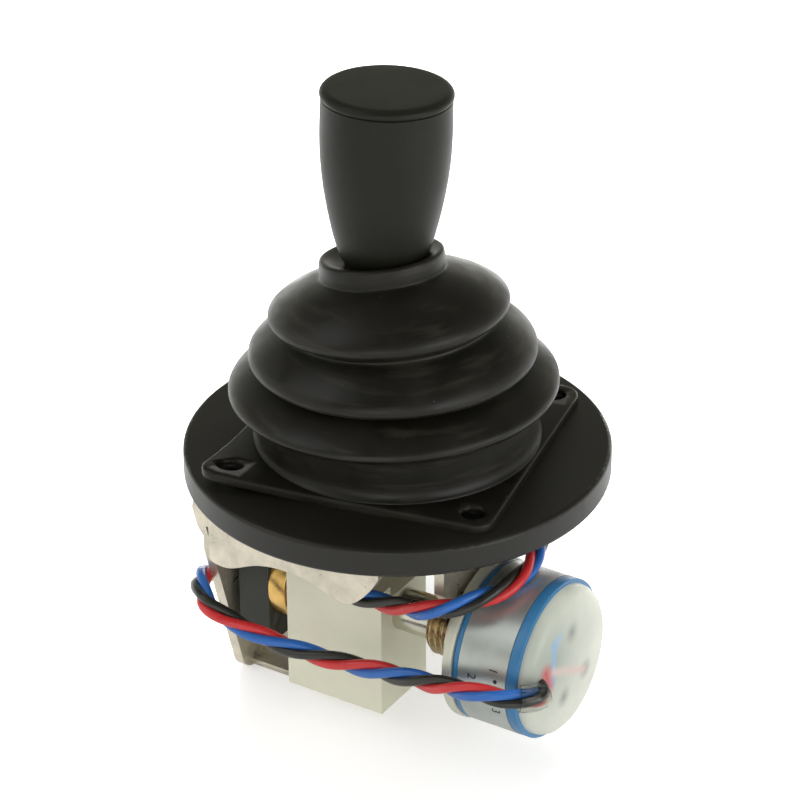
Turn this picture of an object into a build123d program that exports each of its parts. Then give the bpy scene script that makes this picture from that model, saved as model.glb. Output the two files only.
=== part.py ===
"""Two-axis industrial joystick: knob and rubber bellows over a round flange, with a folded
sheet-metal gimbal frame below it that carries one potentiometer for each axis.

Millimetres. The origin is the centre of the flange's underside, which rests on the panel.
+Z runs up the stick and +X runs out along the axis of the first potentiometer.
The stick stands a little to one side of that centre, so everything is modelled about the
stick's own axis, and hand_in() moves each finished piece over to the flange's origin.
"""
from build123d import *
import os
from math import acos, atan2, cos, degrees, hypot, pi, radians, sin, sqrt, tan

os.makedirs("parts", exist_ok=True)

# Flange
flange_d = 58.4
flange_t = 4.1
flange_edge = 0.6
throat_d = 26.0
flange_shift = 1.25

# Rubber boot: square base and three folds, heights above the flange top
base_side = 40.0
base_t = 1.3
base_corner = 2.5
base_turn = 11.4
boot_wall = 1.4
boot_foot_r = 18.4
collar_r = 8.4
collar_top = 29.9
collar_h = 2.8
fold_radii = (16.4, 19.5, 22.2)
fold_heights = (21.4, 14.7, 9.9)
shoulder_in = 3.0
shoulder_up = 3.0
tuck_in = 2.4
tuck_down = 1.6
fold_round = 0.5

# Holes for the four panel screws, through the boot's base and the flange
panel_hole_d = 3.4
panel_hole_inset = 3.1
panel_hole_play = 0.9

# Stick and knob, heights above the flange top
stick_d = 6.0
knob_foot_h = 30.5
knob_foot_r = 6.4
knob_belly_h = 43.5
knob_belly_r = 8.5
knob_seam_h = 51.8
knob_seam_r = 8.8
cap_h = 1.2
cap_round = 1.0
cap_line = 0.3
cap_line_depth = 0.8
insert_r = 4.4
insert_h = 13.0
nut_af = 10.0
nut_h = 3.0

# Gimbal
pivot_z = -6.05
ring_x = 11.4
ring_y = 14.0
ring_h = 4.5
ring_side = 1.2
ring_end = 2.0
trunnion_d = 3.0
cross_pin_d = 2.5
hub_r = 3.7
hub_h = 5.2
bail_gap_r = 8.6
bail_t = 1.4
bail_w = 9.6
bail_slot_end = 6.6
bail_slot_play = 0.35

# Folded frame
sheet = 1.5
bend_r = 3.0
frame_side = 38.5
frame_window_x = 20.0
frame_window_y = 24.0
ear_depth = 34.4
ear_tip_r = 3.2
ear_inset = 0.6
lobe_r = 7.1
waist = 5.0
waist_drop = 11.5

# Potentiometers
pot_offset = 6.85
pot_drop = 10.75
shaft_d = 6.0
shaft_into_case = 6.0
bushing_d = 9.0
bushing_reach = {"x": 6.1, "y": 6.3}
plate_lip = 0.2
plate_t = 2.1
case_r = 11.1
case_len = 10.5
groove_w = 0.5
groove_d = 0.5
label_from = 2.3
label_len = 6.2
label_t = 0.15
cup_r = 10.0
cup_len = 1.8
cup_wall = 0.6
cup_round = 1.3
terminal_r = 0.6
terminal_len = 0.9
terminal_pitch_r = 4.9
terminal_angles = (-75, 35, 100)

# Rotor block on the first potentiometer's shaft and its bearing
block_left = -8.15
block_right = 7.15
block_half = 5.8
block_below = 14.2
block_above = 3.4
lip_above = 5.2
lip_t = 2.4
grip_len = 8.0
pivot_in_block = 4.0
bearing_t = 6.1
bearing_right = -9.95
bearing_half = 5.8
bearing_rear = 4.2
bearing_bottom = -27.5
bearing_step_w = 7.0
bearing_step_h = 22.0
bush_flange_r = 5.0
bush_flange_t = 1.3
bush_r = 3.0
bush_len = 5.0

# Gears between the gimbal and the potentiometers
gear_module = 0.75
gear_teeth = 17
gear_w = 2.3
pressure_angle = 20.0
backlash = 0.16
gear_hub_r = 3.6

# Clearances
run_play = 0.05
gap = 0.3

# Screws
screw_d = 2.5
screw_head_d = 4.6
screw_head_h = 1.6
frame_screw_len = 4.0
bearing_screw_len = 5.5

# Leads
lead_d = 2.8

# Worked out
top = flange_t
frame_far = frame_side / 2
frame_near = -frame_side / 2
plate_r = case_r + plate_lip
panel_pcd = 2 * sqrt(2) * (base_side / 2 - panel_hole_inset)
bearing_left = bearing_right - bearing_t
bearing_front = -pot_offset - bearing_half
pot_z = pivot_z - pot_drop
pitch_r = gear_module * gear_teeth / 2
root_r = pitch_r - 1.25 * gear_module
tip_r = pitch_r + gear_module - 0.05
mesh_angle = degrees(atan2(pot_drop, pot_offset))
bail_r = bail_gap_r + bail_t
case_from = frame_far + plate_t
cup_from = case_from + case_len
shaft_end = case_from + shaft_into_case

# Local frames: the z of each pot plane is its shaft axis, x points to the open side, y down
pot_planes = {
    "x": Plane(origin=(0, -pot_offset, pot_z), x_dir=(0, -1, 0), z_dir=(1, 0, 0)),
    "y": Plane(origin=(-pot_offset, 0, pot_z), x_dir=(1, 0, 0), z_dir=(0, 1, 0)),
}
tilt_planes = {
    "x": Plane(origin=(0, 0, pivot_z), x_dir=(0, -1, 0), z_dir=(1, 0, 0)),
    "y": Plane(origin=(0, 0, pivot_z), x_dir=(1, 0, 0), z_dir=(0, 1, 0)),
}
print("gear centre distance", round(hypot(pot_offset, pot_drop), 3), "pitch radius", pitch_r)

# The flange's centre and the middle of the boot's folds, seen from the stick's axis
flange_mid = (flange_shift, flange_shift)
boot_mid = (flange_shift / 2, flange_shift / 2)

# Panel screw pattern shared by the boot, the flange and the frame's plate
with BuildSketch() as panel_holes:
    with Locations(flange_mid):
        with PolarLocations(panel_pcd / 2, 4, start_angle=45 + base_turn):
            Circle(panel_hole_d / 2)

screw_spot = frame_far - 6.0
frame_screw_spots = [(screw_spot, screw_spot), (-screw_spot, screw_spot), (screw_spot, -screw_spot)]
bearing_mid = (bearing_left + bearing_right) / 2
bearing_screw_spots = [(bearing_mid, -pot_offset - 2.9), (bearing_mid, -pot_offset + 1.5)]


def hand_in(piece, name, modelled_about_stick=True):
    """Moves a finished piece to the flange's origin, names it and writes its STEP file."""
    if modelled_about_stick:
        piece = Pos(-flange_shift, -flange_shift, 0) * piece
    piece.label = name
    export_step(piece, f"parts/{name}.step")


# Flange
with BuildPart() as flange_plate:
    with BuildSketch():
        with Locations(flange_mid):
            Circle(flange_d / 2)
            Circle(throat_d / 2, mode=Mode.SUBTRACT)
        add(panel_holes.sketch, mode=Mode.SUBTRACT)
    extrude(amount=flange_t)
    rims = flange_plate.edges().filter_by(GeomType.CIRCLE)
    fillet(rims.filter_by(lambda edge: abs(edge.radius - flange_d / 2) < 0.01), flange_edge)
    with Locations(*[(x, y, flange_t) for x, y in bearing_screw_spots]):
        CounterSinkHole(screw_d / 2, screw_head_d / 2)
    with BuildSketch():
        with Locations(*frame_screw_spots):
            Circle(screw_d / 2)
    extrude(amount=frame_screw_len - sheet, mode=Mode.SUBTRACT)
hand_in(flange_plate.part, "flange_plate")

# Rubber bellows: an outline of overlapping folds, given its wall and turned, on a square base
outer = [(collar_r, collar_top), (collar_r, collar_top - collar_h)]
for fold_r, fold_h in zip(fold_radii, fold_heights):
    outer.append((fold_r - shoulder_in, fold_h + shoulder_up))
    outer.append((fold_r, fold_h))
    outer.append((fold_r - tuck_in, fold_h - tuck_down))
outer.append((boot_foot_r, 0))
inner = [(r - boot_wall, h) for r, h in reversed(outer)]
boot_axis = Axis((*boot_mid, 0), (0, 0, 1))
with BuildPart() as bellows:
    with BuildSketch(Plane.XZ.offset(-boot_mid[1])) as boot_section:
        with BuildLine():
            Polyline(*[(boot_mid[0] + r, top + h) for r, h in outer + inner], close=True)
        make_face()
        bends = boot_section.vertices().filter_by(lambda corner: base_t < max(corner.Y, corner.Z) - top
                                                  < collar_top - fold_round)
        fillet(bends, fold_round)
    revolve(axis=boot_axis)
    with BuildSketch(Plane.XY.offset(top)):
        with Locations(flange_mid):
            RectangleRounded(base_side, base_side, base_corner, rotation=base_turn)
        with Locations(boot_mid):
            Circle(boot_foot_r - boot_wall / 2, mode=Mode.SUBTRACT)
        add(panel_holes.sketch, mode=Mode.SUBTRACT)
    extrude(amount=base_t)
hand_in(bellows.part, "bellows")

# Knob: a barrel that widens upwards, bored for its insert
seam_z = top + knob_seam_h
foot_z = top + knob_foot_h
insert_z = foot_z + 1.0
with BuildPart() as knob:
    with BuildSketch(Plane.XZ):
        with BuildLine():
            Line((0, foot_z), (knob_foot_r, foot_z))
            Spline((knob_foot_r, foot_z), (knob_belly_r, top + knob_belly_h), (knob_seam_r, seam_z))
            Line((knob_seam_r, seam_z), (0, seam_z))
            Line((0, seam_z), (0, foot_z))
        make_face()
    revolve(axis=Axis.Z)
    with BuildSketch(Plane.XY.offset(insert_z)):
        Circle(insert_r)
    extrude(amount=insert_h, mode=Mode.SUBTRACT)
    with BuildSketch(Plane.XY.offset(foot_z)):
        Circle(stick_d / 2)
    extrude(amount=insert_z - foot_z, mode=Mode.SUBTRACT)
    with BuildSketch(Plane.XY.offset(seam_z)):
        Circle(knob_seam_r)
        Circle(knob_seam_r - cap_line_depth, mode=Mode.SUBTRACT)
    extrude(amount=-cap_line, mode=Mode.SUBTRACT)
hand_in(knob.part, "knob")

with BuildPart() as knob_cap:
    with BuildSketch(Plane.XY.offset(seam_z)):
        Circle(knob_seam_r)
    extrude(amount=cap_h)
    fillet(knob_cap.edges().group_by(Axis.Z)[-1], cap_round)
hand_in(knob_cap.part, "knob_cap")

with BuildPart() as knob_insert:
    with BuildSketch(Plane.XY.offset(insert_z)):
        Circle(insert_r)
        Circle(stick_d / 2, mode=Mode.SUBTRACT)
    extrude(amount=insert_h)
hand_in(knob_insert.part, "knob_insert")

with BuildPart() as lock_nut:
    with BuildSketch(Plane.XY.offset(foot_z - nut_h)):
        RegularPolygon(nut_af / 2, 6, major_radius=False)
        Circle(stick_d / 2, mode=Mode.SUBTRACT)
    extrude(amount=nut_h)
hand_in(lock_nut.part, "lock_nut")

# Stick: rod from the gimbal to the knob, cross-bored for the gimbal pin
stick_foot = pivot_z - hub_h / 2
stick_tip = insert_z + insert_h - 1.0
with BuildPart() as stick_rod:
    with BuildSketch(Plane.XY.offset(stick_foot)):
        Circle(stick_d / 2)
    extrude(amount=stick_tip - stick_foot)
    with BuildSketch(Plane.XZ):
        with Locations((0, pivot_z)):
            Circle(cross_pin_d / 2 + run_play)
    extrude(amount=stick_d, both=True, mode=Mode.SUBTRACT)
hand_in(stick_rod.part, "stick_rod")

with BuildPart() as stick_hub:
    with BuildSketch(Plane.XY.offset(stick_foot)):
        Circle(hub_r)
        Circle(stick_d / 2, mode=Mode.SUBTRACT)
    extrude(amount=hub_h)
    chamfer(stick_hub.edges().filter_by(lambda edge: abs(edge.radius - hub_r) < 0.01
                                        if edge.geom_type == GeomType.CIRCLE else False), 0.4)
    with BuildSketch(Plane.XZ):
        with Locations((0, pivot_z)):
            Circle(cross_pin_d / 2 + run_play)
    extrude(amount=hub_r + 1, both=True, mode=Mode.SUBTRACT)
hand_in(stick_hub.part, "stick_hub")

# Gimbal ring with its pins
with BuildPart() as gimbal_ring:
    with BuildSketch(Plane.XY.offset(pivot_z - ring_h / 2)):
        RectangleRounded(ring_x, ring_y, 1.6)
        RectangleRounded(ring_x - 2 * ring_side, ring_y - 2 * ring_end, 0.8, mode=Mode.SUBTRACT)
    extrude(amount=ring_h)
    with BuildSketch(Plane.XZ):
        with Locations((0, pivot_z)):
            Circle(cross_pin_d / 2)
    extrude(amount=ring_y, both=True, mode=Mode.SUBTRACT)
    with BuildSketch(Plane.YZ):
        with Locations((0, pivot_z)):
            Circle(trunnion_d / 2)
    extrude(amount=ring_x, both=True, mode=Mode.SUBTRACT)
hand_in(gimbal_ring.part, "gimbal_ring")

with BuildPart() as gimbal_pin:
    with BuildSketch(Plane.XZ):
        with Locations((0, pivot_z)):
            Circle(cross_pin_d / 2)
    extrude(amount=ring_y / 2, both=True)
hand_in(gimbal_pin.part, "gimbal_pin")

pin_start = ring_x / 2 - ring_side
bearing_reach = 5.2
with BuildPart() as gimbal_trunnions:
    with BuildSketch(Plane.YZ.offset(pin_start)):
        with Locations((0, pivot_z)):
            Circle(trunnion_d / 2)
    extrude(amount=frame_far - pin_start)
    with BuildSketch(Plane.YZ.offset(-pin_start)):
        with Locations((0, pivot_z)):
            Circle(trunnion_d / 2)
    extrude(amount=bearing_right - bearing_reach + pin_start)
hand_in(gimbal_trunnions.part, "gimbal_trunnions")

# Bail: an arch over the ring, slotted along Y for the stick
with BuildPart() as slotted_bail:
    with BuildSketch(Plane.YZ):
        with Locations((0, pivot_z)):
            Circle(bail_r)
            Rectangle(2 * bail_r, 2 * trunnion_d, mode=Mode.ADD)
        with Locations((0, pivot_z - bail_r)):
            Rectangle(2 * bail_r, 2 * bail_r, mode=Mode.SUBTRACT)
        with Locations((0, pivot_z - trunnion_d / 2)):
            Rectangle(2 * bail_r, trunnion_d)
        with Locations((0, pivot_z)):
            Circle(bail_gap_r, mode=Mode.SUBTRACT)
        with Locations((0, pivot_z - trunnion_d)):
            Rectangle(2 * bail_gap_r, 2 * trunnion_d, mode=Mode.SUBTRACT)
    extrude(amount=bail_w / 2, both=True)
    with BuildSketch(Plane.XY.offset(pivot_z + bail_gap_r / 3)):
        SlotOverall(2 * bail_slot_end, stick_d + 2 * bail_slot_play, rotation=90)
    extrude(amount=bail_r, mode=Mode.SUBTRACT)
    with BuildSketch(Plane.XZ):
        with Locations((0, pivot_z)):
            Circle(trunnion_d / 2)
    extrude(amount=2 * bail_r, both=True, mode=Mode.SUBTRACT)
hand_in(slotted_bail.part, "slotted_bail")

bracket_front = -(bail_r + 0.5 + sheet)
with BuildPart() as bail_trunnions:
    with BuildSketch(Plane.XZ.offset(-bail_gap_r)):
        with Locations((0, pivot_z)):
            Circle(trunnion_d / 2)
    extrude(amount=-(frame_far - bail_gap_r))
    with BuildSketch(Plane.XZ.offset(bail_gap_r)):
        with Locations((0, pivot_z)):
            Circle(trunnion_d / 2)
    extrude(amount=-bracket_front - bail_gap_r)
hand_in(bail_trunnions.part, "bail_trunnions")

# Bracket for the bail's front trunnion, bent under the frame's top plate
foot_len = 4.5
bracket_w = 7.0
with BuildPart() as bail_bracket:
    with BuildSketch(Plane.YZ):
        with BuildLine():
            FilletPolyline(
                (bracket_front - foot_len + sheet, -sheet - sheet / 2),
                (bracket_front + sheet / 2, -sheet - sheet / 2),
                (bracket_front + sheet / 2, pivot_z - trunnion_d / 2 - 1.1),
                radius=sheet,
            )
        trace(line_width=sheet)
    extrude(amount=bracket_w / 2, both=True)
    with BuildSketch(Plane.XZ):
        with Locations((0, pivot_z)):
            Circle(trunnion_d / 2 + run_play)
    extrude(amount=-bracket_front + sheet, mode=Mode.SUBTRACT)
hand_in(bail_bracket.part, "bail_bracket")

# Frame: a folded cover whose four walls are cut to ears
ear_front = frame_near + ear_inset
apron_end = frame_far - 8.3
trunnion_ear = trunnion_d / 2 + 2.9
ear_back = -2 * pot_offset - ear_front
with BuildPart() as frame:
    with BuildSketch(Plane.XY):
        Rectangle(frame_side, frame_side)
    extrude(amount=-ear_depth)
    fillet(frame.faces().sort_by(Axis.Z)[-1].edges(), bend_r)
    offset(amount=-sheet, openings=frame.faces().sort_by(Axis.Z)[0])
    # Left ear: a long triangle with a round tip
    with BuildSketch(Plane.YZ.offset(frame_near)):
        with Locations((0, -ear_depth / 2)):
            Rectangle(frame_side, ear_depth + 2)
        with BuildSketch(mode=Mode.PRIVATE) as left_ear:
            with Locations(((ear_front + ear_back) / 2, -bend_r / 2 + 1)):
                Rectangle(ear_back - ear_front, bend_r + 2)
            with Locations((-pot_offset, -ear_depth + ear_tip_r)):
                Circle(ear_tip_r)
            make_hull()
        add(left_ear.sketch, mode=Mode.SUBTRACT)
    extrude(amount=bend_r, mode=Mode.SUBTRACT)
    # Front apron with its wavy lower edge and a notch for one panel screw
    with BuildSketch(Plane.XZ.offset(-frame_near)):
        with Locations((0, -ear_depth / 2)):
            Rectangle(frame_side, ear_depth + 2)
        with BuildSketch(mode=Mode.PRIVATE) as apron:
            with BuildLine():
                edge_line = Spline(
                    (frame_near, -5.0), (-16.9, -9.7), (-13.7, -10.5), (-9.5, -8.9), (-3.7, -7.9),
                    (1.8, -8.9), (5.7, -9.9), (8.4, -8.1), (apron_end, -4.4),
                )
                Line(edge_line @ 1, (apron_end, 2))
                Line((apron_end, 2), (frame_near, 2))
                Line((frame_near, 2), edge_line @ 0)
            make_face()
        add(apron.sketch, mode=Mode.SUBTRACT)
    extrude(amount=-bend_r, mode=Mode.SUBTRACT)
    # Right and rear ears: waisted, with a round lobe about the bushing
    for side in ("right", "rear"):
        sign = 1 if side == "right" else -1
        ear_plane = Plane.YZ.offset(frame_far) if side == "right" else Plane.XZ.offset(-frame_far)
        with BuildSketch(ear_plane):
            with Locations((0, -ear_depth / 2)):
                Rectangle(frame_side, ear_depth + 2)
            with BuildSketch(mode=Mode.PRIVATE) as pot_ear:
                with BuildLine():
                    Polyline(
                        (-pot_offset - plate_r, 2), (-pot_offset - plate_r, -bend_r - 0.5),
                        (-pot_offset - waist, -waist_drop), (-pot_offset - waist, pot_z),
                        (-pot_offset + waist, pot_z), (-pot_offset + waist, -waist_drop),
                        (trunnion_ear, -waist_drop + 2.9), (trunnion_ear, 2), close=True,
                    )
                make_face()
                with Locations((-pot_offset, pot_z)):
                    Circle(lobe_r)
            add(pot_ear.sketch, mode=Mode.SUBTRACT)
        extrude(amount=-bend_r * sign, mode=Mode.SUBTRACT)
        # Bores for the bushing and the trunnion
        with BuildSketch(ear_plane):
            with Locations((-pot_offset, pot_z)):
                Circle(bushing_d / 2)
            with Locations((0, pivot_z)):
                Circle(trunnion_d / 2 + run_play)
        extrude(amount=-2 * sheet * sign, mode=Mode.SUBTRACT)
    with BuildSketch(Plane.XY):
        Rectangle(frame_window_x, frame_window_y)
        with Locations(*frame_screw_spots, *bearing_screw_spots):
            Circle(screw_d / 2)
        with Locations(flange_mid):
            with PolarLocations(panel_pcd / 2, 4, start_angle=45 + base_turn):
                Circle(panel_hole_d / 2 + panel_hole_play)
    extrude(amount=-bend_r, mode=Mode.SUBTRACT)
hand_in(frame.part, "frame")

# Bearing block: carries the brass bush and the left gimbal trunnion
with BuildPart() as bearing_block:
    with BuildSketch(Plane.YZ.offset(bearing_left)):
        with BuildLine():
            Polyline(
                (bearing_front, bearing_bottom), (bearing_front, -sheet), (bearing_rear, -sheet),
                (bearing_rear, pivot_z - 3.5), (-pot_offset + 5.5, pot_z - 3),
                (-pot_offset + 5.5, bearing_bottom), close=True,
            )
        make_face()
    extrude(amount=bearing_right - bearing_left)
    with BuildSketch(Plane.YZ.offset(bearing_left)):
        with Locations((-pot_offset + 1.2, pot_z + 2)):
            Rectangle(bearing_step_w, bearing_step_h)
    extrude(amount=-(bearing_left - frame_near - sheet))
    with BuildSketch(Plane.YZ.offset(bearing_right)):
        with Locations((-pot_offset, pot_z)):
            Circle(bush_r)
    extrude(amount=-bush_len, mode=Mode.SUBTRACT)
    with BuildSketch(Plane.YZ.offset(bearing_right)):
        with Locations((0, pivot_z)):
            Circle(trunnion_d / 2 + run_play)
    extrude(amount=-bearing_reach - gap, mode=Mode.SUBTRACT)
    with BuildSketch(Plane.XY.offset(-sheet)):
        with Locations(*bearing_screw_spots):
            Circle(screw_d / 2)
    extrude(amount=-bearing_screw_len - gap, mode=Mode.SUBTRACT)
hand_in(bearing_block.part, "bearing_block")

with BuildPart() as brass_bush:
    with BuildSketch(Plane.YZ.offset(bearing_right)):
        with Locations((-pot_offset, pot_z)):
            Circle(bush_flange_r)
    extrude(amount=bush_flange_t)
    with BuildSketch(Plane.YZ.offset(bearing_right)):
        with Locations((-pot_offset, pot_z)):
            Circle(bush_r)
    extrude(amount=-bush_len)
    with BuildSketch(Plane.YZ.offset(bearing_right + bush_flange_t)):
        with Locations((-pot_offset, pot_z)):
            Circle(trunnion_d / 2 + run_play)
    extrude(amount=-bush_flange_t - bush_len, mode=Mode.SUBTRACT)
hand_in(brass_bush.part, "brass_bush")


def tooth_half_angle(radius):
    """Half of one tooth's angle in degrees at a radius, on an involute flank."""
    base_r = pitch_r * cos(radians(pressure_angle))
    pressure = acos(min(1.0, base_r / max(radius, base_r)))
    at_pitch = radians(pressure_angle)
    thin = tan(pressure) - pressure - tan(at_pitch) + at_pitch
    return degrees(pi / (2 * gear_teeth) - backlash / (2 * pitch_r) - thin)


def on_tooth(radius, side):
    """A point of the tooth's flank, on the side -1 or 1 of the X axis."""
    angle = radians(side * tooth_half_angle(radius))
    return (radius * cos(angle), radius * sin(angle))


# One gear tooth on the X axis, its root sunk into the rim
flank = [root_r - 0.3, pitch_r - 0.4, pitch_r, pitch_r + 0.35, tip_r]
with BuildSketch() as tooth:
    with BuildLine():
        Polyline(*[on_tooth(r, -1) for r in flank], *[on_tooth(r, 1) for r in reversed(flank)], close=True)
    make_face()
tooth_pitch = 360 / gear_teeth


def toothed_outline(first_angle, count):
    """Flat outline of a hub and half a rim with a run of teeth, the first at an angle from the X axis."""
    away = Rot(0, 0, first_angle + tooth_pitch * (count - 1) / 2) * Pos(-root_r, 0)
    with BuildSketch() as outline:
        Circle(root_r)
        with Locations(away):
            Rectangle(2 * root_r, 2 * root_r, mode=Mode.SUBTRACT)
        Circle(gear_hub_r)
        with PolarLocations(0, count, start_angle=first_angle, angular_range=tooth_pitch * (count - 1),
                            endpoint=True):
            add(tooth.sketch)
    return outline.sketch


to_ring = 180 - mesh_angle
follower_teeth = toothed_outline(-to_ring - 2.5 * tooth_pitch, 6)
sector_teeth = toothed_outline(180 - to_ring - 2 * tooth_pitch, 5)

# Rotor block on the first potentiometer's shaft
with BuildPart() as rotor_block:
    with BuildSketch(Plane.YZ.offset(block_left + gear_w + gap)):
        with Locations((-pot_offset, pot_z + (block_above - block_below) / 2)):
            Rectangle(2 * block_half, block_above + block_below)
    extrude(amount=block_right - block_left - gear_w - gap)
    with BuildSketch(Plane.YZ.offset(block_left)):
        with Locations((-pot_offset, pot_z - (block_below + 2) / 2)):
            Rectangle(2 * block_half, block_below - 2)
        with Locations((-pot_offset - block_half + lip_t / 2, pot_z + (lip_above - block_below) / 2)):
            Rectangle(lip_t, lip_above + block_below)
        with Locations((-pot_offset - block_half / 2, pot_z - 1)):
            Rectangle(block_half, 2)
    extrude(amount=gear_w + gap)
    with BuildSketch(Plane.YZ.offset(block_left)):
        with Locations((-pot_offset - block_half + lip_t / 2, pot_z + (lip_above - block_below) / 2)):
            Rectangle(lip_t, lip_above + block_below)
    extrude(amount=block_right - block_left)
    with BuildSketch(pot_planes["x"].offset(block_left)):
        add(follower_teeth)
    extrude(amount=gear_w + gap)
    with BuildSketch(Plane.YZ.offset(block_right)):
        with Locations((-pot_offset, pot_z)):
            Circle(shaft_d / 2)
    extrude(amount=-grip_len, mode=Mode.SUBTRACT)
    with BuildSketch(Plane.YZ.offset(block_left)):
        with Locations((-pot_offset, pot_z)):
            Circle(trunnion_d / 2)
    extrude(amount=pivot_in_block, mode=Mode.SUBTRACT)
hand_in(rotor_block.part, "rotor_block")

with BuildPart() as rotor_pivot:
    with BuildSketch(Plane.YZ.offset(block_left + pivot_in_block)):
        with Locations((-pot_offset, pot_z)):
            Circle(trunnion_d / 2)
    extrude(amount=bearing_right - bush_len + 0.5 - block_left - pivot_in_block)
hand_in(rotor_pivot.part, "rotor_pivot")

# Sector gears fixed to the ring and to the bail
sector_from = {"x": -ring_x / 2 - gear_w - 0.1, "y": bail_r}
for axis in ("x", "y"):
    sector_plane = tilt_planes[axis].offset(sector_from[axis])
    with BuildPart() as sector:
        with BuildSketch(sector_plane):
            add(sector_teeth)
        extrude(amount=gear_w)
        with BuildSketch(sector_plane):
            Circle(trunnion_d / 2)
        extrude(amount=gear_w, mode=Mode.SUBTRACT)
    hand_in(sector.part, f"sector_{axis}")

# Gear on the second potentiometer's shaft
pinion_from = bail_r - 0.1
with BuildPart() as pot_y_gear:
    with BuildSketch(pot_planes["y"].offset(pinion_from)):
        add(follower_teeth)
    extrude(amount=gear_w + 0.2)
    with BuildSketch(pot_planes["y"].offset(pinion_from)):
        Circle(shaft_d / 2)
    extrude(amount=gear_w + 0.2, mode=Mode.SUBTRACT)
hand_in(pot_y_gear.part, "pot_y_gear")

# The two potentiometers, alike except for how far their shafts reach
shaft_from = {"x": block_right - grip_len, "y": pinion_from}
for axis, plane in pot_planes.items():
    with BuildPart() as pot_front:
        with BuildSketch(plane.offset(frame_far)):
            Circle(plate_r)
        extrude(amount=plate_t)
        with BuildSketch(plane.offset(frame_far)):
            Circle(bushing_d / 2)
        extrude(amount=-bushing_reach[axis])
        with BuildSketch(plane.offset(frame_far - bushing_reach[axis])):
            Circle(shaft_d / 2 + run_play)
        extrude(amount=bushing_reach[axis] + plate_t, mode=Mode.SUBTRACT)
    hand_in(pot_front.part, f"pot_{axis}_front")

    with BuildPart() as pot_case:
        with BuildSketch(plane.offset(case_from)):
            Circle(case_r)
        extrude(amount=case_len)
        with BuildSketch(plane.offset(case_from)):
            Circle(case_r)
            Circle(case_r - groove_d, mode=Mode.SUBTRACT)
        extrude(amount=groove_w, mode=Mode.SUBTRACT)
        with BuildSketch(plane.offset(case_from + label_from)):
            Circle(case_r)
            Circle(case_r - label_t, mode=Mode.SUBTRACT)
        extrude(amount=label_len, mode=Mode.SUBTRACT)
        with BuildSketch(plane.offset(case_from)):
            Circle(shaft_d / 2 + gap)
        extrude(amount=shaft_end - case_from + gap, mode=Mode.SUBTRACT)
    hand_in(pot_case.part, f"pot_{axis}_case")

    with BuildPart() as pot_label:
        with BuildSketch(plane.offset(case_from + label_from)):
            Circle(case_r + 0.02)
            Circle(case_r - label_t, mode=Mode.SUBTRACT)
        extrude(amount=label_len)
    hand_in(pot_label.part, f"pot_{axis}_label")

    with BuildPart() as pot_cup:
        with BuildSketch(plane.offset(cup_from)):
            Circle(cup_r)
        extrude(amount=cup_len)
        fillet(pot_cup.edges().filter_by(GeomType.CIRCLE).sort_by(
            lambda edge: (edge.arc_center - plane.origin).dot(plane.z_dir))[-1], cup_round)
        with BuildSketch(plane.offset(cup_from)):
            Circle(cup_r - cup_wall)
        extrude(amount=cup_len - cup_wall, mode=Mode.SUBTRACT)
    hand_in(pot_cup.part, f"pot_{axis}_cup")

    with BuildPart() as pot_terminals:
        with BuildSketch(plane.offset(cup_from)):
            for angle in terminal_angles:
                with PolarLocations(terminal_pitch_r, 1, start_angle=angle):
                    Circle(terminal_r)
        extrude(amount=terminal_len)
    hand_in(pot_terminals.part, f"pot_{axis}_terminals")

    with BuildPart() as pot_shaft:
        with BuildSketch(plane.offset(shaft_from[axis])):
            Circle(shaft_d / 2)
        extrude(amount=shaft_end - shaft_from[axis])
    hand_in(pot_shaft.part, f"pot_{axis}_shaft")

# Screws: three under the frame's plate, two down through the flange into the bearing block
with BuildPart() as frame_screws:
    with BuildSketch(Plane.XY.offset(-sheet)):
        with Locations(*frame_screw_spots):
            Circle(screw_head_d / 2)
    extrude(amount=-screw_head_h)
    with BuildSketch(Plane.XY.offset(-sheet)):
        with Locations(*frame_screw_spots):
            Circle(screw_d / 2)
    extrude(amount=frame_screw_len)
hand_in(frame_screws.part, "frame_screws")

with BuildPart() as bearing_screws:
    for x, y in bearing_screw_spots:
        with BuildSketch(Plane.XZ.offset(-y)):
            with BuildLine():
                Polyline(
                    (x, top), (x + screw_head_d / 2, top),
                    (x + screw_d / 2, top - (screw_head_d - screw_d) / 2 / tan(radians(41))),
                    (x + screw_d / 2, -sheet - bearing_screw_len), (x, -sheet - bearing_screw_len),
                    close=True,
                )
            make_face()
        revolve(axis=Axis((x, y, 0), (0, 0, 1)))
hand_in(bearing_screws.part, "bearing_screws")

# Leads: each is three twisted wires inside one plain tube, bare at its far end
lead_routes = {
    "x": [
        (32.5, -18.8, -15.9), (31.1, -21.8, -15.7), (27.4, -23.2, -15.2), (23.6, -22.6, -15.4),
        (19.5, -21.4, -16.2), (14.0, -20.2, -17.7), (8.3, -19.4, -18.9), (2.5, -19.1, -19.7),
        (-3.5, -19.4, -19.8), (-9.0, -20.3, -18.8), (-14.0, -21.5, -16.6), (-18.4, -21.8, -15.0),
        (-21.8, -20.2, -14.9), (-23.1, -16.4, -15.9), (-23.1, -11.0, -17.3), (-22.9, -5.0, -18.6),
        (-22.8, 1.0, -19.9), (-22.0, 7.0, -21.6), (-19.2, 12.2, -23.6),
    ],
    "y": [
        (2.5, 32.5, -15.9), (5.8, 31.8, -15.6), (9.6, 29.6, -14.6), (13.8, 25.8, -12.6),
        (18.2, 19.6, -9.5), (22.6, 11.4, -6.4), (25.2, 3.0, -4.4), (26.2, -5.2, -3.6),
        (25.2, -12.6, -4.2), (21.8, -18.2, -5.4), (17.4, -20.3, -6.9), (12.8, -18.4, -8.4),
        (8.2, -17.0, -9.4), (3.4, -17.0, -9.3), (-1.8, -17.1, -8.2), (-7.0, -17.2, -6.6),
    ],
}
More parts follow.
